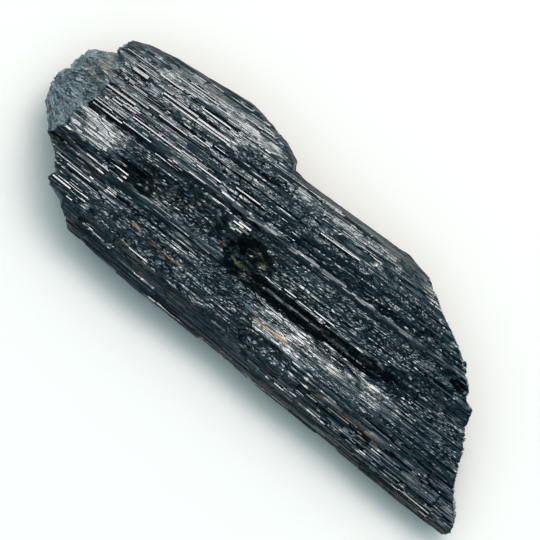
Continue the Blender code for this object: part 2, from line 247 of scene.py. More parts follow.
# %% Sizes of the broken ends, in millimetres
FRACTURE_TOP = [(-5.8, 5.8), (-2.5, 7.4), (1.2, 8.0), (6.2, 9.6), (10.0, 9.8), (10.8, 6.2),
                (11.6, 6.0), (12.2, 9.4), (15.2, 9.6), (15.6, 8.0)]
FRACTURE_SIDES = (-5.8, 15.6)
FRACTURE_FOOT = 14.5
FRACTURE_LUMPS = [(4.3, 0.8), (2.0, 0.5), (1.1, 0.25), (0.55, 0.16)]  # how wide, and how deep
FRACTURE_STEP = 0.5
RAGGED_BLUNT = 0.9  # the longest step between the broken ends of two ribs
RAGGED_SHARP = 0.5
RESTING_DROP = 6.0  # below this height the ends curve in towards the resting face
BLUNT_SLOPES = (0.22, 0.9)  # millimetres in for each one down: below the foot, and lower still
SHARP_SLOPES = (0.08, 0.5)  # the same from the crest down, and lower still
print("the fracture is", round(FRACTURE_SIDES[1] - FRACTURE_SIDES[0], 1), "mm wide")


# %% Lumps and ragged edges
def random_relief(across_cells, along_cells, seed):
    """Smooth lumps between -1 and 1, one cell apart, from a table that repeats."""
    table = np.random.default_rng(seed).uniform(-1, 1, (61, 67))
    i = np.floor(across_cells).astype(int)
    k = np.floor(along_cells).astype(int)
    f = across_cells - i
    g = along_cells - k
    f = f * f * (3 - 2 * f)
    g = g * g * (3 - 2 * g)
    near = table[i % 61, k % 67] * (1 - g) + table[i % 61, (k + 1) % 67] * g
    far = table[(i + 1) % 61, k % 67] * (1 - g) + table[(i + 1) % 61, (k + 1) % 67] * g
    return near * (1 - f) + far * f


def fracture(across, height, seed):
    """The lumps of a broken face, over its own width and height."""
    lumps = 0.0
    for width, depth in FRACTURE_LUMPS:
        lumps = lumps + depth * random_relief(across / width + 40, height / width + 40, seed)
        seed += 1
    return np.where(lumps > 0.1, lumps + FRACTURE_STEP, lumps)


def ragged(across, seed):
    """How much shorter each small prism has broken than its neighbours, from 0 to 1."""
    random = np.random.default_rng(seed)
    lots = random.uniform(0, 1, 400) ** 1.6
    starts = np.cumsum(random.uniform(0.2, 1.3, 80)) - 28
    narrow = lots[np.searchsorted(starts, across)]
    wide = lots[np.searchsorted(starts, across / 3.1) + 100]
    return 0.55 * narrow + 0.45 * wide


lumps = fracture(np.linspace(-5, 15, 200), 18.0, 5)
print("the lumps stand from", round(lumps.min(), 1), "to", round(lumps.max(), 1), "mm")


# %% Where the crystal starts and ends
def blunt_end(across, height):
    """How far along the crystal starts: a sloping fracture in the middle, steep beside it."""
    low = along_line(BLUNT_END, across)
    high = along_line(FRACTURE_TOP, across)
    in_fracture = (across > FRACTURE_SIDES[0]) & (across < FRACTURE_SIDES[1])
    high = np.where(in_fracture, np.maximum(high, low), low)
    crest = top_height(high, across)
    slope = np.clip((crest - height) / np.maximum(crest - FRACTURE_FOOT, 1), 0, 1)
    start = high + (low - high) * slope
    start = start + BLUNT_SLOPES[0] * np.maximum(FRACTURE_FOOT - height, 0)
    start = start + BLUNT_SLOPES[1] * np.maximum(RESTING_DROP - height, 0)
    start = start + RAGGED_BLUNT * ragged(across, 21)
    # The lumps die out at the crest and at the foot, which keep the outline.
    inside = np.clip((crest - height) / 2.0, 0, 1)
    inside = inside * np.clip(np.abs(height - FRACTURE_FOOT) / 2.5, 0.1, 1)
    return start + fracture(across, height, 5) * inside


def sharp_end(across, height):
    """How far along the crystal ends: a steep oblique break, a little undercut."""
    end = along_line(SHARP_END, across)
    crest = top_height(end, across)
    end = end - SHARP_SLOPES[0] * (crest - height)
    end = end - SHARP_SLOPES[1] * np.maximum(RESTING_DROP - height, 0)
    inside = np.clip((crest - height) / 2.0, 0, 1)
    return end - RAGGED_SHARP * ragged(across, 22) - np.abs(fracture(across, height, 8)) * inside


print("the middle runs from", round(float(blunt_end(np.array(3.0), np.array(20.0))), 1),
      "to", round(float(sharp_end(np.array(3.0), np.array(20.0))), 1), "mm")

# %% [markdown]
# ## Worn edges
# On the real stone no edge is ruler-straight, and steps across the ribs have crumbled into a
# slope. Bevels would keep them straight. Here each place borrows its height from one a little
# beside it, so edges wander, and three steep steps are averaged along the ribs, each over its
# own reach.

# %% Steps that are worn down: (along, across, half length, half width, reach)
WORN_STEPS = [
    (25.6, -0.8, 6.0, 5.4, 4.5),  # where the rough hollow begins
    (51.0, -3.0, 2.4, 3.8, 2.0),  # the wall of the cavity
    (74.0, -9.2, 3.6, 4.2, 3.0),  # a joint across the broad rib
]
WANDER_ALONG = 1.1
WANDER_ACROSS = [(1.6, 2.2, 0.26), (0.7, 1.3, 0.07)]  # how wide, how long, and how far


def worn_height(along, across):
    """The top's height with its edges worn: each place borrows from one a little beside it."""
    inside = np.minimum(across - along_line(LEFT_SIDE, along), along_line(RIGHT_SIDE, along) - across)
    worn = np.clip(inside / 2 - 0.3, 0, 1)
    slide = WANDER_ALONG * random_relief(across / 0.8 + 60, along / 2.5 + 30, 31)
    slip = 0.0
    for seed, (width, length, far) in enumerate(WANDER_ACROSS, 32):
        slip = slip + far * random_relief(across / width + 60, along / length + 30, seed)
    height = top_height(along + slide * worn, across + slip * worn)
    for at_along, at_across, half_along, half_across, reach in WORN_STEPS:
        own = along + 0.7 * reach * random_relief(across / 0.62 + 60, along / 9 + 30, 34)
        near = ((own - at_along) / half_along) ** 2 + ((across - at_across) / half_across) ** 2
        eased = sum(top_height(own + step * reach, across) for step in (-1, -0.5, 0, 0.5, 1)) / 5
        height = height + (eased - height) * np.exp(-near * near)
    return height


bench = np.linspace(40, 48, 400)
moved = worn_height(bench, 0 * bench) - top_height(bench, 0 * bench)
print("wear moves the bench by up to", round(float(np.abs(moved).max()), 2), "mm")

# %% [markdown]
# ## Lines round the stone
# The surface is carried by lines that run from end to end, so that every rib can follow one.
# Most lie on the top, about a sixth of a millimetre apart. Where a line would pass the outline
# it runs down the side instead. The rest cover the two undercut sides and the resting face. A
# remeshed sculpture would need far more faces to hold ribs this fine.

# %% How many lines, and the faces they cover
TOP_LINES = 276
SIDE_LINES = [10, 9, 14, 10]
BASE_LINES = 6
STATIONS = 218
END_RINGS = 22
MOST_MERGED = 32
FIRST_LINE = -21.6
LAST_LINE = 25.6
UNDER_LINES = [4] + SIDE_LINES + [BASE_LINES] + SIDE_LINES[::-1] + [7]
RINGS = TOP_LINES + sum(UNDER_LINES) - 1  # the last one would be the first line again

# (inset from the side's outline, share of the rim's height), and the resting face's edges.
RIGHT_SIDE_FACES = [(0.4, 0.74), (2.1, 0.57), (1.0, 0.42), (4.0, 0.17)]
LEFT_SIDE_FACES = [(0.4, 0.76), (1.9, 0.57), (1.0, 0.42), (3.8, 0.17)]
RESTING_FACE = (-12.5, 10.5)
BLUNT_MIDDLE = (3.6, 13.0)
SHARP_MIDDLE = (-3.0, 9.5)
LEFT_FOLD = 3.5  # how far past the rim a line has come down to the first face below it
RIGHT_FOLD = 26.5  # the place where it has done so on the other side
print(RINGS, "lines,", round((LAST_LINE - FIRST_LINE) / (TOP_LINES - 1), 2), "mm apart on top")


# %% A line of the top
def top_line(place, along):
    """Across and height of a line of the top, which runs down the side where it is past the rim."""
    left = along_line(LEFT_SIDE, along)
    right = along_line(RIGHT_SIDE, along)
    fanned = place * (1 + FAN_PER_MM * (along - MID_ALONG))
    across = np.clip(fanned, left, right)
    height = worn_height(along, across)
    inset, foot = RIGHT_SIDE_FACES[0]
    past = np.clip((fanned - right) / np.maximum(RIGHT_FOLD - right, 0.5), 0, 1)
    height = np.where(fanned > right, along_line(RIGHT_RIM, along) * (1 + (foot - 1) * past), height)
    across = np.where(fanned > right, right - inset * past, across)
    inset, foot = LEFT_SIDE_FACES[0]
    past = np.clip((left - fanned) / LEFT_FOLD, 0, 1)
    height = np.where(fanned < left, along_line(LEFT_RIM, along) * (1 + (foot - 1) * past), height)
    across = np.where(fanned < left, left + inset * past, across)
    return across, height


on_bench = top_line(np.array(10.0), np.array(MID_ALONG))
print("across and height of the line at 10 mm:", np.round(on_bench, 1))


# %% All lines at one place along the stone
def section(ring, along):
    """Across and height of a line round the crystal at a place along it."""
    place = FIRST_LINE + (LAST_LINE - FIRST_LINE) * ring / (TOP_LINES - 1)
    across, height = top_line(place, along)
    # Below the rim this side takes the outline's steps more gently, and both sides wave a little.
    near = [along_line(RIGHT_SIDE, along + step) for step in (-2.4, -1.2, 0, 1.2, 2.4)]
    right = np.minimum(sum(near) / 5, near[2] + 0.2)
    left = along_line(LEFT_SIDE, along)
    wave = 0.35 * random_relief(along / 11 + 20, 0 * along + 4.5, 71)
    under = [top_line(LAST_LINE + 0 * along, along)]
    for inset, share in RIGHT_SIDE_FACES:
        under.append((right - inset + wave * share, along_line(RIGHT_RIM, along) * share))
    under.append((RESTING_FACE[1] + 0 * right, 0 * right))
    under.append((RESTING_FACE[0] + 0 * right, 0 * right))
    for inset, share in reversed(LEFT_SIDE_FACES):
        under.append((left + inset - wave * share, along_line(LEFT_RIM, along) * share))
    under.append(top_line(FIRST_LINE + 0 * along, along))
    first = TOP_LINES
    for (across_0, height_0), (across_1, height_1), count in zip(under, under[1:], UNDER_LINES):
        share = (ring - first + 1) / count
        here = (ring >= first) & (ring < first + count)
        across = np.where(here, across_0 + (across_1 - across_0) * share, across)
        height = np.where(here, height_0 + (height_1 - height_0) * share, height)
        first += count
    return across, height


outer_line = section(np.arange(RINGS), np.full(RINGS, MID_ALONG))[0]
print("across the middle:", round(outer_line.max() - outer_line.min(), 1), "mm")


# %% Spacing and ends of the lines
def line_places():
    """How far round the section each line lies, in millimetres, so that ribs keep their width."""
    ring = np.arange(RINGS)
    across, height = section(ring, np.full(RINGS, MID_ALONG))
    steps = np.hypot(np.diff(across), np.diff(height))
    steps[:TOP_LINES - 1] = (LAST_LINE - FIRST_LINE) / (TOP_LINES - 1)
    return FIRST_LINE + np.concatenate([[0], np.cumsum(steps)])


def line_ends():
    """Where each line starts at the blunt end and stops at the sharp one."""
    ring = np.arange(RINGS)
    starts = np.full(RINGS, 10.0)
    stops = np.full(RINGS, 110.0)
    for _ in range(8):
        starts = 0.5 * starts + 0.5 * blunt_end(*section(ring, starts))
        stops = 0.5 * stops + 0.5 * sharp_end(*section(ring, stops))
    return starts, stops


def surface(ring, share):
    """Where the surface is, for a line and a share of the way along it."""
    starts, stops = line_ends()
    along = starts[ring] + (stops[ring] - starts[ring]) * share
    across, height = section(ring, along)
    return along, across, height


print(RINGS, "lines, the last", round(line_places()[-1] - FIRST_LINE, 1), "mm round")

# %% [markdown]
# ## The body of the crystal
# The body is a grid of quads, closed round the stone: its columns are the lines along the
# crystal and its rows are stations along them. The ends could be capped with one face each, but
# a fracture needs points to carry its lumps. So the first and last rows run inward over the two
# ends to a single point each. Towards that point neighbouring lines merge, which keeps the faces
# of an end about the same size.

# %% Points of the body
ROWS = STATIONS + 2 * END_RINGS
END_JITTER = 0.10  # millimetres, so that the grid doesn't show on the broken faces


def body_points():
    """Along, across and height of every point of the grid, with its line and how far inward."""
    row, ring = np.meshgrid(np.arange(ROWS), np.arange(RINGS), indexing="ij")
    row, ring = row.ravel(), ring.ravel()
    share = np.clip((row - END_RINGS) / (STATIONS - 1), 0, 1)
    at_blunt = np.clip((END_RINGS - row) / END_RINGS, 0, 1)
    at_sharp = np.clip((row - END_RINGS - STATIONS + 1) / END_RINGS, 0, 1)
    inward = np.maximum(at_blunt, at_sharp)
    merged = 2 ** np.floor(np.log2(1 / np.maximum(1 - inward, 1 / MOST_MERGED))).astype(int)
    ring = np.where(inward > 0.999, 0, ring // merged * merged)
    along, across, height = surface(ring, share)
    jitter = np.random.default_rng(17).uniform(-END_JITTER, END_JITTER, (2, RINGS, ROWS))
    for at_end, end, (middle, middle_height) in (
        (at_blunt, blunt_end, BLUNT_MIDDLE),
        (at_sharp, sharp_end, SHARP_MIDDLE),
    ):
        shake = np.clip(at_end * 4, 0, 1)
        across = across + (middle - across) * at_end + shake * jitter[0, ring, row]
        height = height + (middle_height - height) * at_end + shake * jitter[1, ring, row]
        along = np.where(at_end > 0, end(across, height), along)
    return along, across, height, ring, inward


along, across, height, ring, inward = body_points()
print(len(along), "points in", ROWS, "rows")

# %% Join the points into a closed skin
TO_FRAME = (-SOLID_MIDDLE[0], -SOLID_MIDDLE[1], 0)  # the solid is centred on the frame's origin

row, line = np.meshgrid(np.arange(ROWS - 1), np.arange(RINGS), indexing="ij")
corner = (row * RINGS + line).ravel()
beside = (row * RINGS + (line + 1) % RINGS).ravel()
quads = np.stack([corner, beside, beside + RINGS, corner + RINGS], axis=1)
points = (np.stack([along, across, height], axis=1) + TO_FRAME) * MM
body_mesh = bpy.data.meshes.new("crystal body")
body_mesh.from_pydata(points.tolist(), [], quads.tolist())
print(len(body_mesh.polygons), "quads")

# %% [markdown]
# ## Where the surface is ribbed, rough or broken
# Clean prism faces are ribbed and shine in long lines, while hollows and chipped zones are
# hackly. Calm zones lie nearly in one plane and are finely cracked, smooth bands kept their flat
# faces, and crisp ones have the strongest ribs. Rust and pale dust sit in a few places. Vertex
# paint could show all this, but a list of patches is easier to move. Each list is painted with
# ragged edges and kept with the mesh as a named attribute, which the relief and the material read.

# %% Zones as patches: (along from, to, across from, to, strength)
ROUGH_ZONES = [
    (21, 51, -4.4, 3.6, 1.0),  # the rough hollow
    (8, 23, -1.8, 3.8, 0.6),
    (36, 60, 7.0, 16.4, 0.9),
    (60, 99, 6.4, 12.8, 0.75),
    (50, 102, -2.6, 4.2, 0.8),
    (50, 60, -6.4, 1.8, 1.0),  # the cavity
    (86, 112, -6.4, 1.5, 0.9),
    (22, 62, -15.4, -6.3, 0.85),
    (60, 102, -13.8, -6.2, 0.65),
    (28, 72, -16.6, -12.5, 0.7),
    (95, 119, -12.5, -5.0, 0.5),
    (9, 22, -18.0, -8.0, 0.4),
    (9, 36, 8.0, 13.4, 0.25),
    (17, 40, 15.0, 17.2, 0.55),
    (60, 88, 13.8, 18.2, 0.35),
]
print(len(ROUGH_ZONES), "rough patches")

# %% Zones that are pitted, or whose ribs lean
DEEP_ZONES = [
    (29, 50, -3.6, 2.4, 0.6), (50, 60, -6.2, 2.0, 0.8), (57, 92, -6.0, -3.4, 0.5),
    (87, 99, -5.5, 0.5, 0.8), (24, 60, -14.0, -9.5, 0.6), (40, 60, 6.6, 9.4, 0.5),
    (62, 96, 6.4, 9.6, 0.6), (56, 98, -1.6, 3.8, 0.5), (60, 78, -15.5, -13.0, 0.6),
]
LEANING_ZONES = [  # strips whose ribs all lean towards +Y, or away from it with less than 0
    (8, 40, 4.2, 9.5, 0.8), (37, 50, 6.5, 9.6, 0.8), (57, 79, -3.0, -1.0, 1.2),
    (13, 25, -5.6, -2.6, 0.8), (9, 40, 14.8, 18.0, -0.2), (52, 86, 14.5, 17.5, -0.3),
    (80, 104, 0.6, 1.6, 0.8), (84, 119, -21.6, -13.6, 0.9), (23, 103, 4.5, 5.9, -1.0),
    (24, 50.5, -6.3, -4.2, -0.8), (20, 28, -4.8, 1.0, 0.5), (79, 99, -16.8, -14.0, 0.4),
    (24, 45.5, 0.6, 3.6, 0.3), (94, 112, -12.0, 0.5, 0.45), (54, 97, -6.0, -3.5, 0.5),
    (24, 84, -20.0, -15.6, 0.5),
]
print(len(DEEP_ZONES), "pitted patches and", len(LEANING_ZONES), "leaning ones")

# %% Zones that are calm, smooth or crisp
CALM_ZONES = [  # where the small faces lie nearly in one plane, so they shine together
    (8.5, 21.5, -2.2, 3.6, 0.95), (45.6, 51.0, 0.0, 4.6, 1.0), (61, 95, -12.6, -6.3, 0.7),
    (61.5, 74, -11.6, -6.4, 1.0), (76, 92, -11.0, -6.4, 1.0), (50, 102, 4.9, 5.8, 0.7),
    (37, 50, 10.0, 12.8, 0.35), (9, 40, 13.4, 17.4, 0.75), (9, 34, 5.8, 12.6, 0.45),
    (10, 38, 17.5, 22.5, 0.35), (38, 50, 17.5, 22.5, 0.1), (52, 88, 14.5, 18.2, 0.2),
]
SMOOTH_ZONES = [  # bands that kept their flat faces
    (24, 50.5, -6.3, -4.2, 1.0), (23, 103, 4.5, 5.9, 0.95), (9, 50, 17.8, 22.6, 0.45),
    (52, 88, 14.4, 17.8, 0.5), (26, 84, -20.2, -15.8, 0.3),
]
CRISP_ZONES = [(72, 119, -22.4, -13.4, 0.7), (22, 72, -19.8, -15.0, 0.2)]
print(len(CALM_ZONES), "calm patches and", len(SMOOTH_ZONES), "smooth bands")

# %% Rust and pale dust
RUST_SPOTS = [
    (30.8, 32.8, -10.4, -9.9, 1.0), (36, 44, -11.6, -10.9, 0.6), (38, 42, -12.4, -11.9, 0.5),
    (61, 66, -10.9, -10.4, 0.9), (65.5, 70.4, -11.1, -10.4, 1.0), (79, 99, -16.6, -14.2, 0.42),
    (23.0, 24.4, -3.6, -3.1, 0.9), (41.5, 45, 18.4, 18.9, 0.7), (3.0, 9.0, 7.6, 14.8, 0.42),
    (1.6, 3.6, -3.4, -1.6, 0.8), (46, 49, -3.0, -2.2, 0.5), (26, 48, -3.0, 2.5, 0.3),
]
DUST_SPOTS = [
    (50.8, 55.8, -4.1, -3.3, 1.0), (55.4, 57.8, -1.5, 0.1, 0.8), (50, 61, -6.2, 2.4, 0.34),
    (24, 49, -3.4, 2.6, 0.26), (24, 28.6, 17.3, 18.3, 0.6), (98, 100.4, -20.8, -19.8, 0.8),
    (45, 50, -3.8, -2.0, 0.3), (88, 100, -9.0, -4.5, 0.25), (56.5, 60.5, 16.6, 17.4, 0.4),
]
print(len(RUST_SPOTS), "rusty and", len(DUST_SPOTS), "dusty places")


# %% Paint a zone
def painted(patches, edge, along, across):
    """How strongly each place lies in a list of patches, fading over this edge in millimetres."""
    strength = np.zeros(len(along))
    fingers = random_relief(across / 0.7 + 50, along / 5 + 30, 77)
    waves = 0.4 * random_relief(across / 3 + 50, along / 2.2 + 30, 78)
    for along_0, along_1, across_0, across_1, most in patches:
        reach = min(3.0, (along_1 - along_0) / 4) * min(1, edge / 0.8)
        here_along = along + reach * fingers
        here_across = across + waves * min(edge, across_1 - across_0)
        inside = np.minimum(np.minimum(here_along - along_0, along_1 - here_along) / (2 * edge),
                            np.minimum(here_across - across_0, across_1 - here_across) / edge)
        here = most * np.clip(inside + 0.5, 0, 1)
        strength = np.where(np.abs(here) > np.abs(strength), here, strength)
    return strength


def on_top(patches, edge):
    """The patches painted on the body's own points, but not on its underside."""
    return painted(patches, edge, along, across) * np.clip((height - 8) / 6, 0, 1)


hacked = on_top(ROUGH_ZONES, 1.4) > 0.5
print("share of the points that lie in rough zones:", round(float(hacked.mean()), 2))

# %% [markdown]
# The zones overlap, so some give way to others: a broken end has no ribs, and a calm or smooth
# place isn't rough. Rough zones are thinned to islands and calm ones to long flakes, because on
# the stone neither of them is even.

# %% How the zones meet
SIDE_RELIEF = 1.5  # times the ribs on the top

resting = np.clip(1 - height / 0.3, 0, 1)
broken = np.clip(inward * 30, 0, 1) * (1 - resting)
rough = np.maximum(on_top(ROUGH_ZONES, 1.4), 0.10) * (1 - broken) * (1 - resting)
calm = on_top(CALM_ZONES, 1.0)
flaked = random_relief(across / 0.9 + 40, along / 4.5 + 20, 52)
calm = calm * np.clip(1.05 + 1.1 * flaked, 0.05, 1)
smooth = on_top(SMOOTH_ZONES, 0.4)
side = np.where(ring >= TOP_LINES, SIDE_RELIEF, 1.0) + on_top(CRISP_ZONES, 0.8)
islands = random_relief(along / 6 + 20, across / 1.3 + 40, 51)
rough = rough * np.clip(0.66 + 0.8 * islands, 0.12, 1)
rough = rough * (1 - calm) * (1 - smooth)
zones = {
    "rough": rough,
    "ribbed": side * (1 - 0.6 * rough) * (1 - 0.85 * calm) * (1 - 0.7 * smooth) * (1 - broken)
              * (1 - resting),
    "leaning": on_top(LEANING_ZONES, 0.8) * (1 - broken),
    "deep": on_top(DEEP_ZONES, 1.4) * (1 - broken),
    "broken": broken,
    "smooth": smooth,
    "calm": calm * (1 - smooth),
    "rust": on_top(RUST_SPOTS, 0.7),
    "dust": on_top(DUST_SPOTS, 0.7),
}
print("mean roughness of the zones:", round(float(rough.mean()), 2))

# %% Keep the zones with the mesh
for name, values in zones.items():
    layer = body_mesh.attributes.new(name, "FLOAT", "POINT")
    layer.data.foreach_set("value", values)
grain = np.stack([along, line_places()[ring], 0 * along], axis=1) * MM
layer = body_mesh.attributes.new("grain", "FLOAT_VECTOR", "POINT")
layer.data.foreach_set("vector", grain.ravel())
print("kept with the mesh:", ", ".join(zones), "and the grain")

# %% [markdown]
# Towards the two ends many points now lie on the same spot, and some quads have shrunk to
# nothing. They could stay, but shading would show pinches there. Merging the points closes the
# skin, and after that all faces are turned to point outwards.

# %% Merge the points that met at the ends
shape = bmesh.new()
shape.from_mesh(body_mesh)
bmesh.ops.remove_doubles(shape, verts=shape.verts, dist=1e-7)
bmesh.ops.recalc_face_normals(shape, faces=shape.faces)
shape.to_mesh(body_mesh)
shape.free()
crystal = bpy.data.objects.new("crystal", body_mesh)
bpy.context.collection.objects.link(crystal)
print(len(body_mesh.polygons), "faces after merging")

# %% [markdown]
# ## Schorl
# Black tourmaline is an iron-rich silicate with a glassy surface and an IOR near 1.64. It is so
# dark that nearly everything it gives the eye is reflection: prism faces mirror the sky in long
# streaks, and freshly broken or hackly places scatter it and look a dull blue-grey. It could be
# several materials side by side, but on the stone they run into each other. So one material does
# all of it and reads the painted zones, with fine streaks that run along the grain.

# %% Noise that follows the grain: (length, width, detail), in millimetres
# Real growth lines can be finer than a tenth of this width. They are drawn this coarse to show.
FINE_STREAKS = (12.0, 0.22, 3.0)
WIDE_STREAKS = (16.0, 1.4, 3.0)
SPOTS = (1.6, 0.7, 5.0)


def along_grain(tree, length, width):
    """The place on the surface, counted in steps of this length and width."""
    grain_at = node(tree, "ShaderNodeAttribute", attribute_name="grain").outputs["Vector"]
    return node(tree, "ShaderNodeMapping",
                {"Vector": grain_at, "Scale": (1000 / length, 1000 / width, 1)})


def streaks(tree, length, width, detail):
    """Noise drawn out along the grain."""
    return node(tree, "ShaderNodeTexNoise",
                {"Vector": along_grain(tree, length, width), "Scale": 1.0, "Detail": detail})


print("fine streaks", FINE_STREAKS[1], "mm wide, wide ones", WIDE_STREAKS[1], "mm")

# %% [markdown]
# The bright patches of the top are parted by hairline cracks. Modelled cracks would cost many
# faces, so the material draws them: the borders of stretched cells, bent by a noise, and open
# only where a second noise is high.

# %% Cracks
CRACKED_PIECE = (5.0, 0.7)  # length and width in millimetres
CRACK_WIDTH = 0.16  # of a piece's own width, where a crack is widest


def cracks(tree):
    """Thin crooked lines that part the surface into pieces."""
    place = along_grain(tree, *CRACKED_PIECE)
    bent = node(tree, "ShaderNodeTexNoise", {"Vector": place, "Scale": 1.3, "Detail": 3.0})
    bent = node(tree, "ShaderNodeVectorMath", {0: bent.outputs["Color"], "Scale": 0.6},
                operation="SCALE")
    place = node(tree, "ShaderNodeVectorMath", place, bent, operation="ADD")
    edges = node(tree, "ShaderNodeTexVoronoi", {"Vector": place, "Scale": 1.0},
                 voronoi_dimensions="2D", feature="DISTANCE_TO_EDGE").outputs["Distance"]
    opened = node(tree, "ShaderNodeTexNoise", {"Vector": place, "Scale": 0.8, "Detail": 2.0})
    opened = node(tree, "MULTIPLY", opened, CRACK_WIDTH)
    return node(tree, "ShaderNodeMapRange",
                {"Value": edges, "From Min": node(tree, "SUBTRACT", opened, 0.075),
                 "From Max": opened, "To Min": 1.0, "To Max": 0.0})


print("cracks part the stone into pieces of", CRACKED_PIECE, "mm")

# %% Colour of the stone
CLEAN_FACE = ("#020609", "#12222A")  # the darkest and the lightest of its wide streaks
HACKLY_FACE = "#1C272C"
FRESH_BREAK = ("#293034", "#8A9295")  # between the grains, and the grains themselves
RUST = "#8C6440"
DUST = "#7E7F62"


def coated(tree, colour, coats):
    """A colour with others laid over it in turn, each as strongly as its own share."""
    for share, coat in coats:
        # Sockets 6 and 7 are the two colours of the Mix node, and output 2 is the mixed one.
        mixed = node(tree, "ShaderNodeMix", {0: share, 6: colour, 7: coat}, data_type="RGBA")
        colour = mixed.outputs[2]
    return colour


def patchy(tree, zone, flecks):
    """A painted zone that only shows where the flecks are, so it has no straight edge."""
    seen = node(tree, "MULTIPLY", zone, flecks)
    return node(tree, "ShaderNodeMapRange", {"Value": seen, "From Min": 0.16, "From Max": 0.52})


def stone_colour(tree, zone, grains, hackly, rusty, dusty):
    """Clean faces, with the hackly, broken, rusty and dusty places over them."""
    wide = streaks(tree, *WIDE_STREAKS)
    clean = coated(tree, linear(CLEAN_FACE[0]), [(wide, linear(CLEAN_FACE[1]))])
    grainy = node(tree, "ShaderNodeMapRange",
                  {"Value": grains, "From Min": 0.36, "From Max": 0.64})
    fresh = coated(tree, linear(FRESH_BREAK[0]), [(grainy, linear(FRESH_BREAK[1]))])
    return coated(tree, clean, [(hackly, linear(HACKLY_FACE)), (zone["broken"], fresh),
                                (rusty, linear(RUST)), (dusty, linear(DUST))])


print("clean faces", CLEAN_FACE[0], "to", CLEAN_FACE[1])

# %% [markdown]
# A fresh face of schorl is as smooth as glass, and a broken one is matt. Roughness carries most
# of that difference. A bump adds what is too fine for the mesh, because it only bends the
# shading and costs no faces.

# %% Gloss and fine relief of the stone
GLOSS = (0.05, 0.26)  # roughness of clean faces, from streak to streak
BROKEN_GLOSS = 0.50  # matt, but with a little sheen left
GRIT_SIZE = 0.42  # millimetres, coarser than the real grit for the same reason as the streaks
FINE_HEIGHT = 0.10  # millimetres that a height of 1 stands up


def add_up(tree, weighted, total=0.0):
    """The sum of several values, each times its weight."""
    for value, weight in weighted:
        total = node(tree, "MULTIPLY_ADD", value, weight, total)
    return total


def stone_gloss(tree, zone, fine, hackly, cracked, rusty):
    """Roughness: low on clean faces, higher where they are worn, cracked, rusty or broken."""
    clean = node(tree, "ShaderNodeMapRange",
                 {"Value": fine, "To Min": GLOSS[0], "To Max": GLOSS[1]})
    worn = add_up(tree, [(zone["smooth"], 0.18), (hackly, 0.30), (cracked, 0.45),
                         (rusty, 0.45)], clean)
    return node(tree, "ShaderNodeMix", {0: zone["broken"], 2: worn, 3: BROKEN_GLOSS},
                data_type="FLOAT")


def fine_relief(tree, zone, fine, grains, cracked):
    """Relief too fine for the mesh: streaks, grit in rough places, cracks, and broken grains."""
    grain_at = node(tree, "ShaderNodeAttribute", attribute_name="grain").outputs["Vector"]
    grit = node(tree, "ShaderNodeTexNoise", {"Vector": grain_at, "Scale": 1 / (GRIT_SIZE * MM),
                                             "Detail": 3.0, "Roughness": 0.7})
    gritty = add_up(tree, [(zone["rough"], 2.0)], 0.1)
    flat = add_up(tree, [(zone["rough"], 1.0), (zone["smooth"], 1.0), (zone["calm"], 0.3)])
    streaky = node(tree, "ShaderNodeMapRange", {"Value": flat, "To Min": 1.0, "To Max": 0.5})
    broken = node(tree, "MULTIPLY", grains, zone["broken"])
    height = add_up(tree, [(fine, streaky), (grit, gritty), (cracked, -1.0), (broken, 4.0)])
    return node(tree, "ShaderNodeBump",
                {"Height": height, "Strength": 0.5, "Distance": FINE_HEIGHT * MM})


print("roughness", GLOSS, "on clean faces and", BROKEN_GLOSS, "on broken ones")

# %% Schorl, ribbed as it grew and broken
SCHORL_IOR = 1.64
BROKEN_GRAIN = 0.45  # millimetres: the real grains are about half as wide, too fine to show


# A glassy black that gives the eye long bright streaks of mirrored sky on its ribs, dull
# blue-grey where it is chipped, and an even matt grey with pale grains where it is broken.
def schorl_material():
    made = bpy.data.materials.new("schorl, ribbed and broken")
    made.use_nodes = True
    tree = made.node_tree
    zone = {name: node(tree, "ShaderNodeAttribute", attribute_name=name).outputs["Fac"]
            for name in ("rough", "broken", "smooth", "calm", "rust", "dust")}
    fine = streaks(tree, *FINE_STREAKS)
    spots = streaks(tree, *SPOTS)
    place = node(tree, "ShaderNodeTexCoord").outputs["Object"]
    grains = node(tree, "ShaderNodeTexNoise", {"Vector": place, "Scale": 1 / (BROKEN_GRAIN * MM),
                                               "Detail": 5.0, "Roughness": 0.8})
    hackly = node(tree, "MULTIPLY", zone["rough"], spots)
    cracked = node(tree, "MULTIPLY", cracks(tree), zone["calm"])
    rusty, dusty = (patchy(tree, zone[name], spots) for name in ("rust", "dust"))
    shader = tree.nodes["Principled BSDF"]
    shader.inputs["IOR"].default_value = SCHORL_IOR
    for socket, source in (
        ("Base Color", stone_colour(tree, zone, grains, hackly, rusty, dusty)),
        ("Roughness", stone_gloss(tree, zone, fine, hackly, cracked, rusty).outputs[0]),
        ("Normal", fine_relief(tree, zone, fine, grains, cracked).outputs[0]),
    ):
        tree.links.new(source, shader.inputs[socket])
    return made


schorl = schorl_material()
print(schorl.name, "with IOR", SCHORL_IOR, "and", len(schorl.node_tree.nodes), "nodes")

# %% [markdown]
# ## Ribs and blocks
# The ribs are growth steps: narrow flat strips of unequal width, each a little higher, lower or
# more tilted than the next, and cut here and there by breaks that leave blocks. They could be
# carved one by one, but they follow the surface by a rule, so Geometry Nodes make them. Cells
# across the grain are the ribs, and a second set of cells along each rib are its blocks.

# %% A tree with named sizes
RELIEF = {
    "Rib width": 0.45 * MM, "Rib step": 0.21 * MM, "Rib lean": 0.33 * MM, "Block length": 7 * MM,
    "Bundle width": 2.1 * MM, "Bundle step": 0.42 * MM, "Bundle lean": 0.9 * MM,
    "Chip length": 2.1 * MM, "Chip width": 0.82 * MM, "Chip step": 0.46 * MM,
    "Chip lean": 0.92 * MM, "Pit depth": 0.8 * MM, "Broken depth": 0.8 * MM, "Seed": 3.0,
}


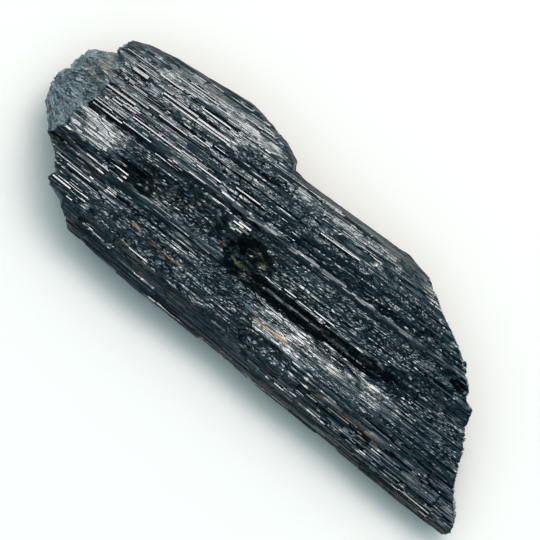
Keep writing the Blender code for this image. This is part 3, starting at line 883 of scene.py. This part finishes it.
def start_tree(name, sizes):
    """A geometry tree with named inputs for its sizes, ready to be filled."""
    tree = bpy.data.node_groups.new(name, "GeometryNodeTree")
    tree.interface.new_socket("Geometry", in_out="INPUT", socket_type="NodeSocketGeometry")
    tree.interface.new_socket("Geometry", in_out="OUTPUT", socket_type="NodeSocketGeometry")
    for size, value in sizes.items():
        socket = tree.interface.new_socket(size, in_out="INPUT", socket_type="NodeSocketFloat")
        socket.default_value = value
    return tree, node(tree, "NodeGroupInput").outputs


print("ribs", round(RELIEF["Rib width"] / MM, 2), "mm wide, in bundles of",
      round(RELIEF["Bundle width"] / MM, 1), "mm")


# %% Relief of the ribs
def lots_of(tree, place):
    """Three random numbers between -0.5 and 0.5 for a place."""
    lots = node(tree, "ShaderNodeTexWhiteNoise", {"Vector": place}, noise_dimensions="3D")
    apart = node(tree, "FunctionNodeSeparateColor", {"Color": lots.outputs["Color"]})
    return [node(tree, "SUBTRACT", part, 0.5) for part in apart.outputs[:3]]


def rib_layer(tree, along, across, width, length, step, lean, seed, towards):
    """Relief of one size of rib: a block's height and lean, and a groove between the ribs."""
    cell = node(tree, "ADD", node(tree, "DIVIDE", across, width), seed)
    strips = {"W": cell, "Scale": 1.0, "Randomness": 0.9}
    ribs = node(tree, "ShaderNodeTexVoronoi", strips, voronoi_dimensions="1D")
    middle = ribs.outputs["W"]
    shift = lots_of(tree, node(tree, "ShaderNodeCombineXYZ", {"X": middle, "Z": seed}))[0]
    block = node(tree, "MULTIPLY_ADD", shift, 80.0, node(tree, "DIVIDE", along, length))
    block = node(tree, "FLOOR", block)
    place = node(tree, "ShaderNodeCombineXYZ", {"X": middle, "Y": block, "Z": seed})
    stands, leans, deep = lots_of(tree, place)
    leans = node(tree, "MULTIPLY_ADD", towards, -0.55, leans)
    off_middle = node(tree, "SUBTRACT", cell, middle)
    tilted = node(tree, "MULTIPLY", off_middle, leans)
    edges = node(tree, "ShaderNodeTexVoronoi", strips, voronoi_dimensions="1D",
                 feature="DISTANCE_TO_EDGE").outputs["Distance"]
    groove = node(tree, "ShaderNodeMapRange",
                  {"Value": edges, "From Max": 0.16, "To Min": 1.0, "To Max": 0.0})
    groove = node(tree, "MULTIPLY", groove, node(tree, "ADD", deep, 0.35))
    groove = node(tree, "MULTIPLY", node(tree, "MAXIMUM", groove, 0.0), step)
    return add_up(tree, [(tilted, lean), (stands, step), (groove, -1.4)])


print("blocks", round(RELIEF["Block length"] / MM), "mm long")

# %% [markdown]
# Rough places are different: the crystal has chipped into small flat faces that point every way.
# A plain noise would look soft there. Each cell of a Voronoi pattern is one chip instead, a
# little plane with its own height and tilt, and three sizes of them lie over each other.

# %% Relief of the chips
CHIPS = {  # times a chip's length, width, step and lean, then the seed
    "large": (1.0, 1.0, 1.0, 1.0, 5.0),
    "small": (0.36, 0.40, 0.34, 0.46, 9.0),
    "broad": (2.3, 2.1, 1.0, 1.0, 25.0),
}


def chips(tree, at, length, width, step, lean, seed, towards=0.0):
    """Relief of chipped crystal: every cell is one small face with its own height and lean."""
    size = node(tree, "ShaderNodeCombineXYZ", length, width, width)
    drawn = node(tree, "ShaderNodeVectorMath", at, size, operation="DIVIDE")
    drawn = node(tree, "ShaderNodeVectorMath", drawn, (seed, seed, seed), operation="ADD")
    cells = node(tree, "ShaderNodeTexVoronoi", {"Vector": drawn, "Scale": 1.0, "Randomness": 1.0},
                 voronoi_dimensions="3D")
    middle = cells.outputs["Position"]
    lots = node(tree, "ShaderNodeTexWhiteNoise", {"Vector": middle}, noise_dimensions="3D")
    turned = node(tree, "ShaderNodeVectorMath", lots.outputs["Color"], (0.5, 0.5, 0.5),
                  operation="SUBTRACT")
    aside = node(tree, "ShaderNodeCombineXYZ", {"Y": node(tree, "MULTIPLY", towards, -0.30)})
    turned = node(tree, "ShaderNodeVectorMath", turned, aside, operation="ADD")
    off_middle = node(tree, "ShaderNodeVectorMath", drawn, middle, operation="SUBTRACT")
    leaning = node(tree, "ShaderNodeVectorMath", turned, off_middle, operation="DOT_PRODUCT")
    stands = node(tree, "SUBTRACT", lots.outputs["Value"], 0.5)
    return add_up(tree, [(stands, step), (leaning.outputs["Value"], lean)])


def chips_of(tree, size, at, kind, towards=0.0):
    """The large, small or broad chips."""
    *scales, seed = CHIPS[kind]
    names = ("Chip length", "Chip width", "Chip step", "Chip lean")
    own = [node(tree, "MULTIPLY", size[name], scale) for name, scale in zip(names, scales)]
    return chips(tree, at, *own, seed, towards)


print("chips", round(RELIEF["Chip length"] / MM, 1), "by", round(RELIEF["Chip width"] / MM, 2), "mm")

# %% Relief of the pits and of the broken ends
PIT_PITCH = 3.2  # millimetres


def pits(tree, at, depth):
    """Soft hollows where the surface has weathered."""
    lumps = node(tree, "ShaderNodeTexNoise", {"Vector": at, "Scale": 1 / (PIT_PITCH * MM),
                                              "Detail": 4.0, "Roughness": 0.65})
    low = node(tree, "ShaderNodeMapRange", {"Value": lumps, "From Min": 0.48, "From Max": 0.72})
    return node(tree, "MULTIPLY", low, node(tree, "MULTIPLY", depth, -1.0))


def broken_grit(tree, width, depth):
    """Two sizes of grain on a broken face, which don't follow the ribs."""
    place = node(tree, "GeometryNodeInputPosition")
    fine_width = node(tree, "MULTIPLY", width, 0.40)
    fine = chips(tree, place, fine_width, fine_width, node(tree, "MULTIPLY", depth, 0.5),
                 node(tree, "MULTIPLY", depth, 0.4), 15.0)
    return chips(tree, place, width, width, depth, depth, 13.0), fine


print("pits", PIT_PITCH, "mm apart and up to", round(RELIEF["Pit depth"] / MM, 1), "mm deep")

# %% [markdown]
# Each relief counts only where its zone is strong. Their sum moves every point of the crystal
# outwards along its normal. Sculpting would fix the ribs for good, while here one number changes
# the width of them all.

# %% Put the relief together
def rib_tree():
    tree, size = start_tree("ribs and blocks", RELIEF)
    zone = {name: node(tree, "GeometryNodeInputNamedAttribute", {"Name": name},
                       data_type="FLOAT").outputs["Attribute"]
            for name in ("ribbed", "rough", "leaning", "deep", "broken")}
    grain_at = node(tree, "GeometryNodeInputNamedAttribute", {"Name": "grain"},
                    data_type="FLOAT_VECTOR").outputs["Attribute"]
    along_at, round_at = node(tree, "ShaderNodeSeparateXYZ", grain_at).outputs[:2]
    narrow = rib_layer(tree, along_at, round_at, size["Rib width"], size["Block length"],
                       size["Rib step"], size["Rib lean"], size["Seed"], zone["leaning"])
    wide = rib_layer(tree, along_at, round_at, size["Bundle width"],
                     node(tree, "MULTIPLY", size["Block length"], 2.6), size["Bundle step"],
                     size["Bundle lean"], node(tree, "ADD", size["Seed"], 17.0), 0.0)
    large, small = (chips_of(tree, size, grain_at, kind, zone["leaning"])
                    for kind in ("large", "small"))
    large = node(tree, "MULTIPLY", node(tree, "MULTIPLY", large, zone["rough"]), 0.55)
    broad = chips_of(tree, size, grain_at, "broad")
    grit, fine_grit = broken_grit(tree, size["Chip width"], size["Broken depth"])
    relief = add_up(tree, [
        (narrow, zone["ribbed"]), (wide, zone["ribbed"]), (broad, zone["rough"]), (large, 1.0),
        (small, zone["rough"]), (pits(tree, grain_at, size["Pit depth"]), zone["deep"]),
        (grit, zone["broken"]), (fine_grit, zone["broken"])])
    outward = node(tree, "ShaderNodeVectorMath",
                   {0: node(tree, "GeometryNodeInputNormal"), "Scale": relief}, operation="SCALE")
    moved = node(tree, "GeometryNodeSetPosition",
                 {"Geometry": size["Geometry"], "Offset": outward})
    ready = node(tree, "GeometryNodeRealizeInstances", moved)
    coated_stone = node(tree, "GeometryNodeSetMaterial", {"Geometry": ready, "Material": schorl})
    node(tree, "NodeGroupOutput", coated_stone)
    return tree


ribs_tree = rib_tree()
print(ribs_tree.name, "has", len(ribs_tree.nodes), "nodes")

# %% [markdown]
# The modifier could stay live, but then every later step would have to work the ribs out again.
# So its result is kept as a plain mesh and the modifier goes.

# %% Grow the ribs and keep the result as a plain mesh
def apply_tree(piece, tree, **sizes):
    """Runs a tree on a piece, keeps its result as a plain mesh and drops the modifier."""
    modifier = piece.modifiers.new(tree.name, "NODES")
    modifier.node_group = tree
    sockets = {item.name: item.identifier for item in tree.interface.items_tree
               if item.in_out == "INPUT"}
    for size, value in sizes.items():
        modifier[sockets[size.replace("_", " ")]] = value
    seen = piece.evaluated_get(bpy.context.evaluated_depsgraph_get())
    result = bpy.data.meshes.new_from_object(seen)
    piece.modifiers.remove(modifier)
    old_mesh, piece.data = piece.data, result
    bpy.data.meshes.remove(old_mesh)


def keep_in_box(piece):
    """The relief never stands outside the solid's own box."""
    spots = np.empty(len(piece.data.vertices) * 3)
    piece.data.vertices.foreach_get("co", spots)
    spots = np.clip(spots.reshape(-1, 3), np.array(solid_box[0]), np.array(solid_box[1]))
    piece.data.vertices.foreach_set("co", spots.ravel())
    piece.data.update()


crystal.data.materials.append(schorl)
apply_tree(crystal, ribs_tree, Seed=3.0)
keep_in_box(crystal)
print("crystal with ribs:", [round(side / MM, 1) for side in crystal.dimensions], "mm")

# %% [markdown]
# ## Loose prisms
# Schorl is a bundle of thin six-sided prisms, and where the surface has chipped, single ones
# stand a little proud of it. They give the long bright lines. They could be set one by one, but
# each is the same small prism, so one tree puts it at every point of a list, with a length, a
# width and a turn kept as attributes.

# %% Prisms that catch the light: (along from, to, across at mid-length, width)
BRIGHT_PRISMS = [
    (26, 41, 21.8, 0.35), (23, 29, 19.6, 0.35), (20, 30, 19.0, 0.40), (8.8, 16, 17.3, 0.35),
    (28, 35, 16.8, 0.40), (20, 28.5, 14.6, 0.55), (28.7, 36.4, 14.6, 0.60),
    (20.4, 36.2, 13.85, 0.50), (12.1, 15.8, 14.8, 0.95), (12.0, 12.6, 12.3, 0.9),
    (13.0, 14.3, 12.3, 0.9), (22, 29, 10.4, 0.40), (10, 17, 9.0, 0.55), (18, 30, 7.0, 0.40),
    (34, 40, 7.0, 0.40), (9.6, 14, 5.3, 0.35), (9.8, 24, 4.5, 0.40), (17, 24, 4.95, 0.30),
    (15, 24.3, -3.0, 0.40), (16, 24.4, -3.75, 0.50), (15, 24.2, -4.65, 0.50),
    (97, 106, -20.6, 0.35), (106.4, 114, -20.7, 0.40), (95, 111, -21.6, 0.30),
    (112, 114, -21.5, 0.90), (107, 110, -16.0, 0.50), (58.5, 62.5, -2.6, 0.28),
    (63, 66, -2.2, 0.33), (66.6, 70, -2.5, 0.28), (70.4, 75.6, -2.1, 0.33),
    (97, 107, 0.9, 0.35), (12, 18, 15.9, 0.30), (30, 34, 11.3, 0.35),
    (43, 49, 8.2, 0.35), (13, 19, -8.6, 0.35), (12, 16.5, -12.2, 0.45), (33, 38, -14.6, 0.35),
    (46.0, 48.3, 3.4, 0.35), (47.6, 50.6, 3.0, 0.50), (46.6, 49.0, 2.5, 0.45),
    (48.2, 50.7, 2.1, 0.55), (47.9, 49.3, 1.5, 0.40), (49.4, 50.9, 1.3, 0.50),
    (80, 86, 13.0, 0.30), (88, 94, 9.0, 0.35), (62, 70, 11.2, 0.30),
]
PRISM_LEAN = -math.radians(12.5)  # towards the softbox
print(len(BRIGHT_PRISMS), "prisms that catch the light")


# %% Where a prism can lie
def top_slopes(along, across):
    """How steeply the top rises along and across, from its height on each side of a place."""
    up = top_height(along + 1.5, across) - top_height(along - 1.5, across)
    over = top_height(along, across + 0.8) - top_height(along, across - 0.8)
    return up / 3.0, over / 1.6


def line_start(across):
    """Where the top begins at the blunt end, with a margin."""
    return np.maximum(along_line(BLUNT_END, across), along_line(FRACTURE_TOP, across)) + 1.2


def line_stop(across):
    """Where the top stops at the sharp end, with a margin."""
    return along_line(SHARP_END, across) - 1.2


def resting_height(along, across, length, up, fan):
    """How high a straight prism can lie so that no part of it floats above the top."""
    lowest = np.full(len(along), 99.0)
    for share in np.linspace(-0.5, 0.5, 9):
        off = share * length
        here = top_height(along + off, across + off * fan) - up * off
        lowest = np.minimum(lowest, here)
    return lowest


slopes = top_slopes(np.array([30.0, 90.0]), np.array([16.0, -18.0]))[1]
print("slope across on the lobe and on the dark side:", np.round(slopes, 2))


# %% Places, sizes and turns of the prisms
def prism_list(count, seed):
    """Places, sizes and turns of all the prisms: the bright ones and some at random."""
    random = np.random.default_rng(seed)
    bright = np.array(BRIGHT_PRISMS)
    length = bright[:, 1] - bright[:, 0]
    length = np.concatenate([length, 0.8 + 7.0 * random.uniform(0, 1, count) ** 3])
    width = np.concatenate([1.5 * bright[:, 3], random.uniform(0.25, 0.85, count)])
    along = np.concatenate([(bright[:, 0] + bright[:, 1]) / 2, random.uniform(8, 116, count)])
    place = np.concatenate([bright[:, 2], random.uniform(-21, 22, count)])
    fan = 1 + FAN_PER_MM * (along - MID_ALONG)
    across = np.where(np.arange(len(along)) < len(bright), place, place * fan)
    up, over = top_slopes(along, across)
    lean = np.arctan(over) + random.normal(0, math.radians(9), len(along))
    lean[:len(bright)] = PRISM_LEAN + math.radians(2.5) * random.uniform(-1, 1, len(bright))
    ends_ok = (along - length / 2 > line_start(across)) & (along + length / 2 < line_stop(across))
    keep = ends_ok & (np.abs(over) < 0.9)
    for end in (along - length / 2, along + length / 2):
        keep &= across < along_line(RIGHT_SIDE, end) - 1.0
        keep &= across > along_line(LEFT_SIDE, end) + 1.0
    keep &= painted(ROUGH_ZONES, 1.4, along, across) < 0.5
    keep &= painted(DEEP_ZONES, 1.4, along, across) < 0.2
    keep[:len(bright)] = True
    fanned = place / fan * FAN_PER_MM
    turn = np.stack([lean, -np.arctan(up), np.arctan(fanned)], axis=1)
    height = resting_height(along, across, length, up, fanned) + 0.02 - 0.12 * width
    height[:len(bright)] += 0.22
    centre = (np.stack([along, across, height], axis=1) + TO_FRAME) * MM
    size = np.stack([length, width, 0.8 * width], axis=1) * MM
    return centre[keep], size[keep], turn[keep]


centres, prism_sizes, turns = prism_list(1500, 41)
print(len(centres), "prisms, the longest", round(float(prism_sizes[:, 0].max()) / MM, 1), "mm")

# %% A six-sided prism at every point
def prism_tree():
    tree, size = start_tree("loose prisms", {"Sides": 6.0})
    prism = node(tree, "GeometryNodeMeshCylinder",
                 {"Vertices": size["Sides"], "Radius": 0.5, "Depth": 1.0})
    for turned in ((0, 0, math.pi / 6), (0, math.pi / 2, 0)):  # a flat side up, then lying down
        prism = node(tree, "GeometryNodeTransform", {"Geometry": prism, "Rotation": turned})
    own_size, own_turn = (
        node(tree, "GeometryNodeInputNamedAttribute", {"Name": name},
             data_type="FLOAT_VECTOR").outputs["Attribute"]
        for name in ("prism size", "prism turn"))
    placed = node(tree, "GeometryNodeInstanceOnPoints",
                  {"Points": size["Geometry"], "Instance": prism, "Scale": own_size,
                   "Rotation": node(tree, "FunctionNodeEulerToRotation", own_turn)})
    ready = node(tree, "GeometryNodeRealizeInstances", placed)
    # Their streaks run along the stone, as its own do.
    grained = node(tree, "GeometryNodeStoreNamedAttribute",
                   {"Geometry": ready, "Name": "grain",
                    "Value": node(tree, "GeometryNodeInputPosition")},
                   data_type="FLOAT_VECTOR", domain="POINT")
    coated_stone = node(tree, "GeometryNodeSetMaterial", {"Geometry": grained, "Material": schorl})
    node(tree, "NodeGroupOutput", coated_stone)
    return tree


prisms_tree = prism_tree()
print(prisms_tree.name, "has", len(prisms_tree.nodes), "nodes")

# %% Lay the prisms on the stone
places = bpy.data.meshes.new("prism places")
places.from_pydata(centres.tolist(), [], [])
for name, values in (("prism size", prism_sizes), ("prism turn", turns)):
    layer = places.attributes.new(name, "FLOAT_VECTOR", "POINT")
    layer.data.foreach_set("vector", values.ravel())
prisms = bpy.data.objects.new("loose_prisms", places)
bpy.context.collection.objects.link(prisms)
prisms.data.materials.append(schorl)
apply_tree(prisms, prisms_tree)
keep_in_box(prisms)
print(len(prisms.data.polygons), "faces on the prisms")

# %% [markdown]
# ## Floor
# Dark stone shows best on something pale and plain. A modelled backdrop with a curve would do,
# but from straight above one flat sheet is enough.

# %% Floor
# Uncoated card, matt: it gives the eye an even pale ground with soft shadows and no reflection.
def pale_floor():
    shape = bmesh.new()
    bmesh.ops.create_grid(shape, x_segments=1, y_segments=1, size=2.5)
    mesh = bpy.data.meshes.new("floor")
    shape.to_mesh(mesh)
    shape.free()
    floor = bpy.data.objects.new("floor", mesh)
    bpy.context.collection.objects.link(floor)
    card = bpy.data.materials.new("white card, uncoated")
    card.use_nodes = True
    shader = card.node_tree.nodes["Principled BSDF"]
    shader.inputs["Base Color"].default_value = linear("#BFB6B2")
    shader.inputs["Roughness"].default_value = 0.9
    floor.data.materials.append(card)
    return floor


floor = pale_floor()
print("floor", [round(side, 1) for side in floor.dimensions], "m")

# %% [markdown]
# ## Light
# Schorl shows what it mirrors, so the light is chosen for its reflections. A few lamps would
# leave hard spots on the ribs. A bright overcast sky does better, palest straight above and
# dim at the horizon, with a wide glow round one small softbox: faces that lean towards the glow
# turn bright, and the rest stay nearly black.

# %% Softbox
TOWARDS_KEY = Vector((-0.06, 0.42, 0.90)).normalized()
KEY_AWAY = 0.60
KEY_SIZE = (0.21, 0.21)
KEY_POWER = 1.2

key = bpy.data.lights.new("softbox", "AREA")
key.shape = "RECTANGLE"
key.size, key.size_y = KEY_SIZE
key.energy = KEY_POWER
key_holder = bpy.data.objects.new("softbox", key)
key_holder.location = TOWARDS_KEY * KEY_AWAY
key_holder.rotation_euler = TOWARDS_KEY.to_track_quat("Z", "Y").to_euler()
bpy.context.collection.objects.link(key_holder)
print("softbox", round(math.degrees(2 * math.atan(KEY_SIZE[1] / 2 / KEY_AWAY))), "degrees high")

# %% Sky
HORIZON = 0.12  # radiance of the room at the horizon, and what it gains straight above
OVERHEAD = 1.0
SKY_GLOW = 3.5  # what the glow round the softbox adds
GLOW_REACH = math.radians(33)
SKY_COLOURS = ("#A9D2DE", "#F8F5F0")  # far from the softbox, and in the glow

world = bpy.data.worlds.new("studio")
bpy.context.scene.world = world
world.use_nodes = True
sky = world.node_tree
sky_at = node(sky, "ShaderNodeTexCoord").outputs["Generated"]
cosine = node(sky, "ShaderNodeVectorMath", sky_at, TOWARDS_KEY, operation="DOT_PRODUCT")
off_key = node(sky, "DIVIDE", node(sky, "ARCCOSINE", cosine.outputs["Value"]), GLOW_REACH)
glow = node(sky, "MULTIPLY", node(sky, "MULTIPLY", off_key, off_key), -1.0)
glow = node(sky, "EXPONENT", glow)
up = node(sky, "ShaderNodeSeparateXYZ", sky_at).outputs["Z"]
above = node(sky, "MAXIMUM", up, 0.0)
strength = add_up(sky, [(above, OVERHEAD), (glow, SKY_GLOW)], HORIZON)
colour = coated(sky, linear(SKY_COLOURS[0]), [(glow, linear(SKY_COLOURS[1]))])
sky.links.new(colour, sky.nodes["Background"].inputs["Color"])
sky.links.new(strength.outputs[0], sky.nodes["Background"].inputs["Strength"])
bpy.context.scene.view_settings.view_transform = "Standard"
bpy.context.scene.view_settings.look = "High Contrast"
print("straight above", HORIZON + OVERHEAD, "and in the glow", SKY_GLOW, "more")

# %% [markdown]
# ## Camera
# The camera looks straight down through a long lens, which shows the outline with hardly any
# perspective, and is turned so that the crystal lies across the view.

# %% Camera
TURN = math.radians(37.24)
AWAY = 0.95
VIEW_WIDTH = 0.10957  # at the middle height of the stone
MIDDLE = (-0.00155, -0.00144, 0.012)

camera = bpy.data.cameras.new("camera")
camera.lens = camera.sensor_width * AWAY / VIEW_WIDTH
camera.clip_end = 20
camera_holder = bpy.data.objects.new("camera", camera)
camera_holder.location = (MIDDLE[0], MIDDLE[1], MIDDLE[2] + AWAY)
camera_holder.rotation_euler = (0, 0, TURN)
bpy.context.collection.objects.link(camera_holder)
bpy.context.scene.camera = camera_holder
print("lens", round(camera.lens), "mm")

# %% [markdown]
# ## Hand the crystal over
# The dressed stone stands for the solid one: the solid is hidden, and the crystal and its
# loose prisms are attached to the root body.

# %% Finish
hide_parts(SOLID)
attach(crystal, "root")
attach(prisms, "root")
